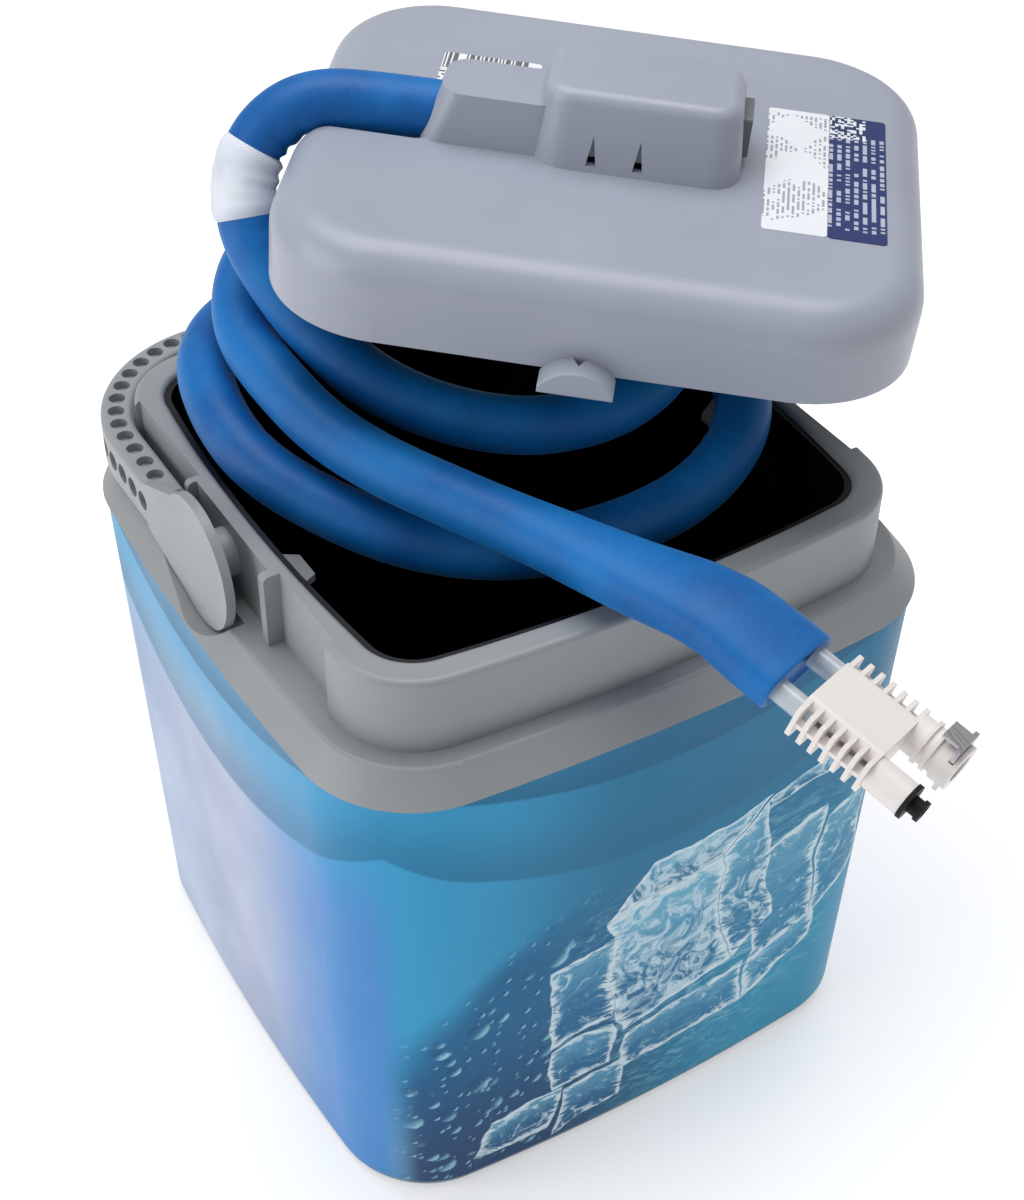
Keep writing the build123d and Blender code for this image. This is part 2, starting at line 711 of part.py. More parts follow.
with BuildPart() as hose:
    with BuildLine() as hose_path:
        FilletPolyline(*hose_points, radius=radii)
    with BuildSketch(Plane(hose_points[0], z_dir=hose_points[1] - hose_points[0])):
        Circle(hose_d / 2)
    sweep()
hose_length = hose_path.wires()[0].length
expected = math.pi * (hose_d / 2) ** 2 * hose_length
print("hose length", round(hose_length, 1), "volume / (section x length)", round(hose.part.volume / expected, 4))
save(hose.part, "hose_sleeve")

# band round the hose, following its bend
band_mid = hose_points[4]
band_start = band_mid + (hose_points[3] - band_mid).normalized() * 12
band_end = band_mid + (hose_points[5] - band_mid).normalized() * 12
with BuildPart() as band:
    with BuildLine() as band_path:
        FilletPolyline(band_start, band_mid, band_end, radius=radii[3])
    with BuildSketch(Plane(band_start, z_dir=band_mid - band_start)):
        Circle(hose_d / 2 + 1.2)
        Circle(hose_d / 2, mode=Mode.SUBTRACT)
    sweep()
save(band.part, "hose_band")

with BuildPart() as cuff:
    with BuildSketch(Plane.XY.offset(-cuff_len)):
        Circle(hose_d / 2)
    with BuildSketch(Plane.XY):
        SlotOverall(37, 17)
    loft()
save(cuff.part, "hose_cuff", coupling_place)

# ---------------------------------------------------------------- coupling, in its own coordinates
with BuildPart() as stubs:
    with BuildSketch(Plane.XY):
        with Locations((-10.5, 0), (10.5, 0)):
            Circle(tube_d / 2)
            Circle(tube_d / 2 - 1.2, mode=Mode.SUBTRACT)
    extrude(amount=15)
save(stubs.part, "tube_ends", coupling_place)

with BuildPart() as coupling:
    with BuildSketch(Plane.XY.offset(10.5)):
        RectangleRounded(25, 13.6, 3)
    extrude(amount=28.5)
    # fins, standing out at both sides of the smooth core, and a rib along them
    for k in range(7):
        with BuildSketch(Plane.XY.offset(11 + 4.4 * k)):
            RectangleRounded(36.5, 13, 2)
        extrude(amount=1.6)
    with BuildSketch(Plane.XY.offset(11)):
        Rectangle(35.5, 1.6)
    extrude(amount=28)
    with BuildSketch(Plane.XY.offset(39)):
        with Locations((-12, 0)):
            Circle(5.8)
    extrude(amount=13.5)
    with BuildSketch(Plane.XY.offset(39)):
        with Locations((12, 0)):
            Circle(7)
    extrude(amount=12)
    for low in (43.5, 47):
        with BuildSketch(Plane.XY.offset(low)):
            with Locations((12, 0)):
                Circle(8)
        extrude(amount=1.4)
    with BuildSketch(Plane.XY.offset(50.5)):
        with Locations((12, 0)):
            Circle(8.2)
    extrude(amount=6.5)
    # tube sockets, flow passages and barrel bores
    with BuildSketch(Plane.XY.offset(9)):
        with Locations((-10.5, 0), (10.5, 0)):
            Circle(tube_d / 2)
    extrude(amount=6, mode=Mode.SUBTRACT)
    with BuildSketch(Plane.XY.offset(9)):
        with Locations((-11, 0), (11, 0)):
            Circle(2.6)
    extrude(amount=32, mode=Mode.SUBTRACT)
    with BuildSketch(Plane.XY.offset(40)):
        with Locations((-12, 0)):
            Circle(4.2)
    extrude(amount=13, mode=Mode.SUBTRACT)
    with BuildSketch(Plane.XY.offset(40)):
        with Locations((12, 0)):
            Circle(5)
    extrude(amount=6, mode=Mode.SUBTRACT)
    with BuildSketch(Plane.XY.offset(45)):
        with Locations((12, 0)):
            Circle(3.5)
    extrude(amount=8, mode=Mode.SUBTRACT)
    with BuildSketch(Plane.XY.offset(51)):
        with Locations((12, 0)):
            Circle(5)
    extrude(amount=8, mode=Mode.SUBTRACT)
    with BuildSketch(Plane.XY.offset(53.6)):
        with Locations((12, 0)):
            Rectangle(12.4, 30)
    extrude(amount=1.9, mode=Mode.SUBTRACT)
save(coupling.part, "coupling_body", coupling_place)

with BuildPart() as valve_end:
    with BuildSketch(Plane.XY.offset(52.5)):
        with Locations((-12, 0)):
            Circle(5)
    extrude(amount=1.5)
    with BuildSketch(Plane.XY.offset(54)):
        with Locations((-12, 0)):
            Circle(3.0)
    extrude(amount=3)
    with BuildSketch(Plane.XY.offset(57)):
        with Locations((-12, 0)):
            Circle(3.7)
    extrude(amount=1.6)
    with BuildSketch(Plane.XY.offset(52)):
        with Locations((-12, 0)):
            Circle(2.3)
    extrude(amount=8, mode=Mode.SUBTRACT)
save(valve_end.part, "valve_end", coupling_place)

with BuildPart() as ring:
    with BuildSketch(Plane.XY.offset(52.5)):
        with Locations((-12, 0)):
            Circle(6.2)
            Circle(5, mode=Mode.SUBTRACT)
    extrude(amount=1.5)
save(ring.part, "coupling_o_ring", coupling_place)

def poppet(name, x, radius, low, high):
    with BuildPart() as body:
        with BuildSketch(Plane.XY.offset(low)):
            with Locations((x, 0)):
                Circle(radius)
        extrude(amount=high - low)
        fillet(body.faces().sort_by(Axis.Z)[-1].edges(), 0.8)
    save(body.part, name, coupling_place)

poppet("poppet_near", -12, 2.24, 48.5, 58.2)
poppet("poppet_far", 12, 3.43, 44, 52)

with BuildPart() as thumb_plate:
    with BuildSketch(Plane.XY.offset(53.75)):
        with Locations((12, 1.35)):
            Rectangle(11.8, 19.7)
        with Locations((12, 0.9)):
            Circle(5, mode=Mode.SUBTRACT)
    extrude(amount=1.6)
    with BuildSketch(Plane.XY.offset(47.5)):
        with Locations((12, 10.6)):
            Rectangle(8, 1.2)
    extrude(amount=7.85)
save(thumb_plate.part, "coupling_latch", coupling_place)
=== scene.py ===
import math

import bpy
import numpy as np
from mathutils import Matrix, Vector


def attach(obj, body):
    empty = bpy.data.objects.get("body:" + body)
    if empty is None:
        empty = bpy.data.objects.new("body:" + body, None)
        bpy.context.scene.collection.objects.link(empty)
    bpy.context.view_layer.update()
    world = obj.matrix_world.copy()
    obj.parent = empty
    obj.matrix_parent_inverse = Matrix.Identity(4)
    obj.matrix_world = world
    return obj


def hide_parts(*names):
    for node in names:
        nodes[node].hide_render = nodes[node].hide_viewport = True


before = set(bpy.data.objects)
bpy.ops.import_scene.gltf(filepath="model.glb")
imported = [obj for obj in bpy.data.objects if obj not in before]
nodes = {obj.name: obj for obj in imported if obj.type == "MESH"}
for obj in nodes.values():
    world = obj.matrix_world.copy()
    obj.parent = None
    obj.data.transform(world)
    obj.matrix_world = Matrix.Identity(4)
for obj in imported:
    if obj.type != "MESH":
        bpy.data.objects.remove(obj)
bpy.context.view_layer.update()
scene = bpy.context.scene
scene.view_settings.view_transform = "Standard"

# ---------------------------------------------------------------- camera
eye = Vector((-0.3096, -0.5165, 0.6896))
look_at = Vector((0.0216, 0.0248, 0.1546))
roll = math.radians(0.76)

camera_data = bpy.data.cameras.new("camera")
camera_data.lens = 60.525
camera_data.sensor_width = 36
camera_data.clip_start = 0.01
camera_data.clip_end = 50
camera = bpy.data.objects.new("camera", camera_data)
scene.collection.objects.link(camera)
look = (look_at - eye).normalized()
turn = look.to_track_quat("-Z", "Y").to_matrix() @ Matrix.Rotation(roll, 3, "Z")
camera.matrix_world = Matrix.Translation(eye) @ turn.to_4x4()
scene.camera = camera


# ---------------------------------------------------------------- node helpers
class Mat:
    """A small builder for node materials."""

    def __init__(self, name, **sockets):
        """Constant shader sockets are given by name, with an underscore for each space."""
        self.mat = bpy.data.materials.new(name)
        self.mat.use_nodes = True
        self.tree = self.mat.node_tree
        self.shader = self.tree.nodes["Principled BSDF"]
        self.coord = self.tree.nodes.new("ShaderNodeTexCoord").outputs["Object"]
        for key, value in sockets.items():
            self.shader.inputs[key.replace("_", " ")].default_value = value

    def put(self, socket, value):
        """Link a socket to it, or set it to a number."""
        if isinstance(value, bpy.types.NodeSocket):
            self.tree.links.new(value, socket)
        else:
            socket.default_value = value

    def node(self, kind, **values):
        """A new node. The values are inputs where it has one of that name, and settings otherwise."""
        made = self.tree.nodes.new("ShaderNode" + kind)
        for key, value in values.items():
            if key in made.inputs.keys():
                self.put(made.inputs[key], value)
            else:
                setattr(made, key, value)
        return made

    def fill(self, made, values):
        """Set a node's inputs in order and give its first output."""
        for socket, value in zip(made.inputs, values):
            self.put(socket, value)
        return made.outputs[0]

    def math(self, operation, *values):
        return self.fill(self.node("Math", operation=operation), values)

    def plus(self, a, b):
        return self.math("ADD", a, b)

    def minus(self, a, b):
        return self.math("SUBTRACT", a, b)

    def over(self, a, b):
        return self.math("DIVIDE", a, b)

    def below(self, a, b):
        return self.math("LESS_THAN", a, b)

    def above(self, a, b):
        return self.math("GREATER_THAN", a, b)

    def times(self, product, *others):
        for other in others:
            product = self.math("MULTIPLY", product, other)
        return product

    def cell(self, value, pitch):
        """Number of the cell, pitch wide, that the value lies in."""
        return self.math("FLOOR", self.over(value, pitch))

    def xyz(self, vector=None):
        made = self.node("SeparateXYZ")
        self.put(made.inputs[0], vector or self.coord)
        return made.outputs

    def join(self, x, y, z):
        return self.fill(self.node("CombineXYZ"), (x, y, z))

    def vector(self, operation, a, b):
        return self.fill(self.node("VectorMath", operation=operation), (a, b))

    def noise(self, scale, detail=3.0, rough=0.5, vector=None, distortion=0.0):
        values = {"Scale": scale, "Detail": detail, "Roughness": rough, "Distortion": distortion}
        return self.node("TexNoise", Vector=vector or self.coord, **values).outputs[0]

    def voronoi(self, scale, feature="F1"):
        made = self.node("TexVoronoi", feature=feature, Vector=self.coord, Scale=scale)
        return made.outputs["Distance"]

    def random(self, dimensions, **values):
        return self.node("TexWhiteNoise", noise_dimensions=dimensions, **values).outputs[0]

    def step(self, value, low, high, a=0.0, b=1.0):
        """Smooth step of value from low to high, giving a to b."""
        made = self.node("MapRange", interpolation_type="SMOOTHSTEP")
        return self.fill(made, (value, low, high, a, b))

    def mix(self, factor, a, b):
        """Two colours mixed, each a socket or linear red, green and blue."""
        made = self.node("Mix", data_type="RGBA")
        self.put(made.inputs[0], factor)
        for k, value in ((6, a), (7, b)):
            self.put(made.inputs[k], value if isinstance(value, bpy.types.NodeSocket) else (*value[:3], 1.0))
        return made.outputs[2]

    def mix_vectors(self, factor, a, b):
        made = self.node("Mix", data_type="VECTOR")
        for k, value in ((0, factor), (4, a), (5, b)):
            self.put(made.inputs[k], value)
        return made.outputs[1]

    def bump(self, height, strength=0.3, distance=0.001, normal=None):
        made = self.node("Bump", Strength=strength, Distance=distance, Height=height)
        if normal is not None:
            self.put(made.inputs["Normal"], normal)
        return made.outputs[0]

    def done(self, color=None, rough=None, normal=None):
        for key, value in (("Base Color", color), ("Roughness", rough), ("Normal", normal)):
            if value is not None:
                self.put(self.shader.inputs[key], value)
        return self.mat


def lin(r, g, b):
    """sRGB 0 to 255 as linear."""
    return tuple((c / 255 / 12.92) if c <= 10 else ((c / 255 + 0.055) / 1.055) ** 2.4 for c in (r, g, b))


# ---------------------------------------------------------------- hose route, the same as in the CAD
lid_at = (0.056, 0.020, 0.326)
lid_turns = (("Z", -38.3), ("X", 1.5), ("Y", 4.5))
lid_place = Matrix.Translation(lid_at)
for axis, degrees in lid_turns:
    lid_place = lid_place @ Matrix.Rotation(math.radians(degrees), 4, axis)

coupling_at = Vector((0.010, -0.164, 0.268))
coupling_z = Vector((0.3010, -0.9154, -0.2674)).normalized()
coupling_x = Vector((0.9455, 0.3230, -0.0414))
coupling_x = (coupling_x - coupling_z * coupling_x.dot(coupling_z)).normalized()

hose_exit = lid_place @ Vector((-0.0578, -0.0085, 0.037))
past_exit = lid_place @ Vector((-0.082, -0.0085, 0.037))
coupling_run = (0.031, 0.014, 0.0)
route_mm = [
    (-34, 73, 371), (-51, 78, 361), (-61, 75, 346), (-64, 67, 329), (-60, 54, 315), (-53, 37, 300),
    (-42, 15, 287), (-21, -7, 279), (7, -23, 275), (39, -28, 278), (68, -17, 287), (91, 8, 300),
    (97, 43, 301), (87, 77, 296), (59, 98, 289), (21, 103, 282), (-20, 104.5, 277), (-56, 104, 275),
    (-80, 83, 275), (-90, 50, 273.5), (-88, 20, 266), (-72, -8, 258), (-48, -34, 251), (-18, -52, 249),
    (17, -59, 250), (50, -59, 256), (75, -48, 265), (90, -24, 271.5), (89, 8, 274), (78, 40, 279),
    (53, 64, 289), (24, 84, 299.5), (-9, 99, 305), (-37, 101, 307), (-59, 87, 302), (-72, 62, 294),
    (-72, 32, 289), (-68, 5, 284), (-58, -22, 281), (-43, -50, 279), (-27, -80, 277), (-12, -109.4, 275.8),
]
route = [hose_exit, past_exit]
route += [Vector(p) / 1000 for p in route_mm]
route += [coupling_at - coupling_z * back for back in coupling_run]
band_mark = route[4]


def spline_points(points, steps):
    """Points along the smooth NURBS line that the route controls."""
    curve = bpy.data.curves.new("route", "CURVE")
    curve.dimensions = "3D"
    spline = curve.splines.new("NURBS")
    spline.points.add(len(points) - 1)
    for p, q in zip(spline.points, points):
        p.co = (*q, 1.0)
    spline.order_u = 3
    spline.use_endpoint_u = True
    spline.resolution_u = steps
    holder = bpy.data.objects.new("route", curve)
    scene.collection.objects.link(holder)
    bpy.context.view_layer.update()
    mesh = bpy.data.meshes.new_from_object(holder)
    found = np.array([v.co for v in mesh.vertices])
    bpy.data.objects.remove(holder)
    bpy.data.curves.remove(curve)
    bpy.data.meshes.remove(mesh)
    return found


steps_per_point = 22
same_point = 1e-7
ring_gap = 0.0014
rings_smoothed = 15

line = spline_points(route, steps_per_point)
moves = np.linalg.norm(np.diff(line, axis=0), axis=1)
line = line[np.r_[True, moves > same_point]]
along = np.r_[0, np.cumsum(np.linalg.norm(np.diff(line, axis=0), axis=1))]
hose_len = along[-1]
even = np.linspace(0, hose_len, int(hose_len / ring_gap))
line = np.column_stack([np.interp(even, along, line[:, k]) for k in range(3)])
tangent = np.gradient(line, axis=0)
tangent /= np.linalg.norm(tangent, axis=1)[:, None]
kernel = np.hanning(rings_smoothed)
kernel /= kernel.sum()
bend = np.gradient(tangent, even, axis=0)
bend = np.column_stack([np.convolve(bend[:, k], kernel, "same") for k in range(3)])

# section directions, carried back from the coupling, where the flat end lies along the coupling's width
side = np.zeros_like(line)
current = np.array(coupling_x)
for i in range(len(line) - 1, -1, -1):
    current = current - tangent[i] * current.dot(tangent[i])
    current /= np.linalg.norm(current)
    side[i] = current
over = np.cross(tangent, side)


# ---------------------------------------------------------------- hose sleeve
def smooth_noise(length, cell, seed):
    """Random value from -1 to 1 along a length, straight between knots one cell apart."""
    knots = np.random.default_rng(seed).uniform(-1, 1, int(length / cell) + 4)
    return lambda s: np.interp(s / cell, np.arange(len(knots)), knots)


# lengths in metres; creases start and deepen with the curvature, one over the bend's radius
hose_radius = 0.0105
flat_wider = 0.0078
flat_thinner = 0.0022
flat_squarer = 0.9
flat_from_end = 0.125
flat_run = 0.122
crease_starts = 12.0
crease_range = 22.0
crease_depth = 0.0011
crease_gap = 0.0088
wobble_depth = 0.00022

points_around = 44
angle = np.linspace(0, 2 * math.pi, points_around, endpoint=False)
wobbles = [smooth_noise(hose_len, 0.021 + 0.007 * k, 40 + k) for k in range(4)]


def hose_ring(i, grow=0.0):
    """Section of the foam sleeve: round, creased inside tight bends, flattened wide at the coupling."""
    s = even[i]
    flare = min(1.0, max(0.0, (s - (hose_len - flat_from_end)) / flat_run))
    flare = flare * flare * (3 - 2 * flare)
    half_wide = hose_radius + flat_wider * flare + grow
    half_thick = hose_radius - flat_thinner * flare + grow
    power = 2.0 + flat_squarer * flare
    c, d = np.cos(angle), np.sin(angle)
    r = 1.0 / (np.abs(c / half_wide) ** power + np.abs(d / half_thick) ** power) ** (1 / power)

    curvature = np.linalg.norm(bend[i])
    toward = bend[i] / max(curvature, 1e-6)
    inner = c * (side[i] @ toward) + d * (over[i] @ toward)
    crease = min(1.0, max(0.0, (curvature - crease_starts) / crease_range))
    wave = 0.5 + 0.5 * math.sin(2 * math.pi * s / crease_gap + 2.0 * wobbles[0](s))
    r = r - crease * np.clip(inner, 0, 1) ** 1.5 * crease_depth * wave
    r = r + wobble_depth * (wobbles[1](s) * c + wobbles[2](s) * d + wobbles[3](s) * np.cos(2 * angle))
    return line[i] + r[:, None] * (c[:, None] * side[i] + d[:, None] * over[i])


def tube_object(name, rings, mat, body, caps=True):
    """A tube from rings of points, each ring the same length."""
    count, around = rings.shape[:2]
    faces = []
    for i in range(count - 1):
        for j in range(around):
            k = (j + 1) % around
            faces.append((i * around + j, i * around + k, (i + 1) * around + k, (i + 1) * around + j))
    if caps:
        faces.append(tuple(range(around - 1, -1, -1)))
        faces.append(tuple((count - 1) * around + j for j in range(around)))
    mesh = bpy.data.meshes.new(name)
    mesh.from_pydata(rings.reshape(-1, 3).tolist(), [], faces)
    mesh.update()
    mesh.polygons.foreach_set("use_smooth", [len(f) == 4 for f in faces])
    mesh.materials.append(mat)
    obj = bpy.data.objects.new(name, mesh)
    scene.collection.objects.link(obj)
    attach(obj, body)
    return obj


def hose_fabric():
    """Knitted sleeve over foam: soft folds, a fine knit and a blue sheen."""
    m = Mat("hose_fabric", Roughness=0.5, Sheen_Weight=0.22, Sheen_Roughness=0.35,
            Sheen_Tint=(0.25, 0.65, 1.0, 1), Specular_IOR_Level=0.32)
    cloud = m.noise(20.0, 4.0, 0.55)
    tone = m.mix(m.step(cloud, 0.3, 0.72), lin(4, 84, 156), lin(9, 116, 192))
    fibres = m.step(m.noise(1500.0, 2.0, 0.6), 0.4, 0.8, 0.0, 0.2)
    tone = m.mix(fibres, tone, lin(20, 134, 210))
    folds = m.bump(m.noise(70.0, 3.0, 0.55), 0.3, 0.0012)
    knit = m.bump(m.voronoi(1500.0), 0.12, 0.0003, folds)
    return m.done(tone, m.step(cloud, 0.3, 0.7, 0.44, 0.56), knit)


def band_fabric():
    """White woven band."""
    m = Mat("band_white", Roughness=0.55, Sheen_Weight=0.15)
    weave = m.node("TexWave", bands_direction="Z", Vector=m.coord, Scale=420.0, Distortion=0.4).outputs[0]
    tone = m.mix(m.step(m.noise(40.0), 0.3, 0.7), lin(200, 207, 220), lin(226, 232, 242))
    return m.done(tone, None, m.bump(weave, 0.2, 0.0003))


hose_mat = hose_fabric()
band_mat = band_fabric()

# the flat end closes with a soft rim: how much of the last ring is left, and how far past it
rim_steps = ((0.985, 0.0006), (0.95, 0.0009), (0.88, 0.0004), (0.80, -0.0006), (0.5, -0.0012))
rings = [hose_ring(i) for i in range(len(line))]
last = rings[-1]
centre = last.mean(0)
rings += [centre + (last - centre) * left + np.array(coupling_z) * past for left, past in rim_steps]
hose = tube_object("hose", np.array(rings), hose_mat, "lid")
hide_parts("hose_sleeve", "hose_cuff")

# ---------------------------------------------------------------- white band on the hose
band_edge = [0.0001, 0.0009, 0.0013]
band_thick = 0.0013
band_rib = 0.00012
ribs = [band_thick + band_rib * math.sin(k * 1.7) for k in range(13)]
profile = band_edge + ribs + band_edge[::-1]
nearest = int(np.argmin(np.linalg.norm(line - np.array(band_mark), axis=1)))
first = nearest - len(profile) // 2
band_rings = np.array([hose_ring(first + k, grow) for k, grow in enumerate(profile)])
band = tube_object("hose_band_wrap", band_rings, band_mat, "lid", caps=False)
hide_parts("hose_band")


# ---------------------------------------------------------------- plain materials
def plastic(name, rgb, rough=0.45, spread=0.06, grain=2200.0, bump=0.12, level=0.5):
    """Moulded plastic: faint mottling, fine spark-eroded grain and slightly uneven gloss."""
    m = Mat(name, Specular_IOR_Level=level)
    dark = tuple(c * (1 - spread) for c in rgb)
    light = tuple(min(1.0, c * (1 + spread)) for c in rgb)
    color = m.mix(m.step(m.noise(9.0), 0.3, 0.7), dark, light)
    gloss = m.step(m.noise(35.0, 4.0), 0.25, 0.75, rough - 0.05, rough + 0.07)
    return m.done(color, gloss, m.bump(m.noise(grain, 2.0, 0.6), bump, 0.0002))


def brushed_metal():
    """Steel brushed along y."""
    m = Mat("latch_metal", Metallic=1.0)
    brush = m.noise(60.0, 4.0, 0.6, m.vector("MULTIPLY", m.coord, (40.0, 1.0, 6.0)))
    color = m.mix(brush, lin(168, 168, 172), lin(206, 206, 210))
    return m.done(color, m.step(brush, 0.2, 0.8, 0.22, 0.4), m.bump(brush, 0.1, 0.0002))


def clear_tubing():
    """Soft, slightly cloudy clear tube."""
    m = Mat("clear_tube", Roughness=0.18, IOR=1.45, Transmission_Weight=0.35, Coat_Weight=0.4)
    color = m.mix(m.step(m.noise(120.0), 0.3, 0.7), lin(196, 212, 226), lin(226, 233, 240))
    return m.done(color, None, m.bump(m.noise(300.0), 0.1, 0.0004))


def circuit_board():
    """Green board with paler traces."""
    m = Mat("circuit_board", Roughness=0.35)
    traces = m.voronoi(260.0, "DISTANCE_TO_EDGE")
    color = m.mix(m.step(traces, 0.02, 0.06), lin(120, 150, 60), lin(18, 78, 40))
    return m.done(color, None, m.bump(traces, 0.2, 0.0002))


def rigid_foam():
    """Cream foam with small open bubbles."""
    m = Mat("foam", Roughness=0.9)
    bubbles = m.voronoi(700.0)
    color = m.mix(bubbles, lin(190, 180, 140), lin(232, 224, 190))
    return m.done(color, None, m.bump(bubbles, 0.5, 0.0006))


grey = plastic("grey_plastic", lin(146, 150, 153), 0.42, 0.05, 2400.0, 0.10)
lid_grey = plastic("lid_plastic", lin(157, 163, 177), 0.34, 0.04, 1500.0, 0.22)
dark = plastic("dark_plastic", lin(34, 36, 40), 0.5)
black = plastic("liner_plastic", lin(7, 7, 9), 0.38, 0.1)
white = plastic("coupling_plastic", lin(238, 232, 228), 0.38, 0.03, 1800.0, 0.06)
pump = plastic("pump_plastic", lin(196, 200, 204), 0.4)
shell = plastic("shell_plastic", lin(120, 132, 144), 0.45)
pin = plastic("pin_plastic", lin(104, 108, 112), 0.4)
rubber = plastic("seal_rubber", lin(14, 14, 16), 0.62, 0.12, 1500.0, 0.2, 0.3)
metal = brushed_metal()
tube_mat = clear_tubing()
board = circuit_board()
foam = rigid_foam()


# ---------------------------------------------------------------- printed film round the tub
class Print(Mat):
    """The film's print, with painted light on its side walls, painted layer over layer on the flat of each
    wall.
    """

    wall_height = 0.221
    corner_blend = 0.012
    ice_warp = 0.020

    def __init__(self, name, **sockets):
        super().__init__(name, **sockets)
        self.x, self.y, self.z = self.xyz()
        self.forward = self.times(self.y, -1.0)
        self.flat = self.join(self.x, 0.0, self.z)
        wide_x = self.math("ABSOLUTE", self.x)
        wide_y = self.math("ABSOLUTE", self.y)
        self.from_middle = self.math("MINIMUM", wide_x, wide_y)
        blend = self.corner_blend
        self.is_front = self.step(self.minus(self.forward, wide_x), -blend, blend)
        self.is_side = self.step(self.minus(wide_x, wide_y), -blend, blend)
        self.color = lin(42, 156, 194)

    def paint(self, amount, tone):
        self.color = self.mix(amount, self.color, tone)

    def lean(self, slope):
        """Distance along x, leaning with height."""
        return self.plus(self.x, self.times(self.z, slope))

    def walls(self):
        """Blue that deepens upward, pale at the lower left, and painted light on the side walls, which turn
        pale lavender except near the front corner.
        """
        self.paint(self.step(self.over(self.z, self.wall_height), 0.25, 0.75), lin(28, 118, 158))
        self.paint(self.step(self.lean(-0.2), -0.05, -0.12), lin(50, 156, 204))
        low_left = self.times(self.step(self.z, 0.085, 0.0), self.step(self.x, -0.05, -0.115))
        self.paint(self.times(low_left, 0.6), lin(170, 210, 222))
        # Painted light: the side walls are painted pale lavender, washed out as where light falls on them,
        # and stay bluer near the front corner.
        lit_pale_lavender = self.mix(self.step(self.noise(14.0, 2.0), 0.3, 0.7), lin(152, 162, 190), lin(178, 186, 208))
        near_front = self.step(self.minus(self.forward, self.times(self.z, 0.06)), 0.0, 0.085)
        painted_side_light = self.mix(self.times(near_front, 0.95), lit_pale_lavender, lin(56, 132, 200))
        not_back = self.step(self.y, 0.09, -0.02, 0.85, 1.0)
        not_top = self.step(self.z, 0.205, 0.15, 0.15, 1.0)
        self.paint(self.times(self.is_side, not_back, not_top), painted_side_light)

    def bands(self):
        """Two bands that hang below the collar, each with its sag, lowest height, fade and colour."""
        across = self.times(self.from_middle, self.from_middle)
        for sag, lowest, tall, near, far, tone in (
            (3.0, 0.160, 0.034, 0.65, 0.12, lin(22, 104, 144)),
            (2.2, 0.203, 0.020, 0.75, 0.40, lin(18, 94, 136)),
        ):
            height = self.minus(self.z, self.plus(self.times(across, sag), lowest))
            inside = self.step(height, -0.0006, 0.0008)
            self.paint(self.times(inside, self.step(height, 0.0, tall, near, far)), tone)

    def water(self):
        """Dark patch at the front's lower left, inside a curved and slightly ragged edge."""
        climb = self.over(self.math("MAXIMUM", self.minus(self.z, 0.060), 0.0), 0.081)
        curve = self.times(self.math("POWER", climb, 2.2), 0.060)
        ragged = self.times(self.minus(self.noise(22.0), 0.5), 0.016)
        past_edge = self.plus(self.minus(self.x, self.minus(curve, 0.112)), ragged)
        patch = self.times(
            self.step(past_edge, -0.010, 0.014),
            self.step(self.lean(-0.25), 0.050, -0.055, 0.15, 1.0),
            self.step(self.z, 0.162, 0.120),
            self.is_front,
        )
        deep = self.mix(self.step(self.z, 0.110, 0.015), lin(18, 98, 146), lin(4, 44, 96))
        self.paint(self.times(patch, 0.92), deep)
        return patch

    def droplets(self, patch):
        """Drops of three sizes on the patch, each dark on one side and lit on the other."""
        place = self.times(patch, self.step(self.lean(-0.15), -0.042, -0.060))
        for scale, size, shift in ((54.0, 0.30, 0.0), (100.0, 0.32, 0.37), (190.0, 0.32, 0.71)):
            moved = self.vector("ADD", self.flat, (shift, 0.0, shift * 0.7))
            drop = self.node("TexVoronoi", Vector=moved, Scale=scale, Randomness=0.9)
            off_x, _, off_z = self.xyz(self.vector("SUBTRACT", moved, drop.outputs["Position"]))
            lit = self.times(self.minus(off_x, off_z), scale)
            inside = self.step(drop.outputs["Distance"], size, size - 0.06)
            amount = self.times(inside, place, self.step(self.noise(60.0, 1.0), 0.34, 0.42))
            self.paint(self.times(amount, self.step(lit, 0.0, -0.3, 0.0, 0.55)), lin(18, 64, 104))
            self.paint(self.times(amount, self.step(lit, -0.02, 0.34, 0.0, 0.9)), lin(150, 208, 228))

    def haze(self):
        """Warped directions and noises that all the ice shares, and a streaky haze behind it."""
        warp = self.node("TexNoise", Vector=self.flat, Scale=24.0, Detail=4.0).outputs["Color"]
        bent = self.mix_vectors(self.ice_warp, self.flat, warp)
        bent_x, _, bent_z = self.xyz(bent)
        self.ice_x = self.minus(bent_x, self.ice_warp / 2)
        self.ice_z = self.minus(bent_z, self.ice_warp / 2)
        self.cloudy = self.noise(85.0, 7.0, 0.68, bent, 1.8)
        self.streaky = self.noise(60.0, 5.0, 0.62, self.vector("MULTIPLY", bent, (1.0, 1.0, 3.2)), 2.2)
        up = self.minus(self.ice_z, 0.09)
        reach = self.math("SQRT", self.plus(self.times(self.ice_x, self.ice_x), self.times(up, up)))
        amount = self.times(
            self.step(reach, 0.115, 0.045),
            self.is_front,
            self.step(self.ice_x, -0.055, -0.02),
            self.step(self.minus(self.ice_z, self.times(self.ice_x, 0.22)), 0.150, 0.118),
        )
        self.paint(self.times(amount, self.step(self.streaky, 0.46, 0.66, 0.0, 0.55)), lin(146, 204, 226))
        self.paint(self.times(amount, self.step(self.streaky, 0.44, 0.30, 0.0, 0.6)), lin(22, 96, 142))

    def from_sides(self, share, length):
        """Distance to the nearer of two opposite sides, from the share of the way between them."""
        return self.times(self.math("MINIMUM", share, self.minus(1.0, share)), length)

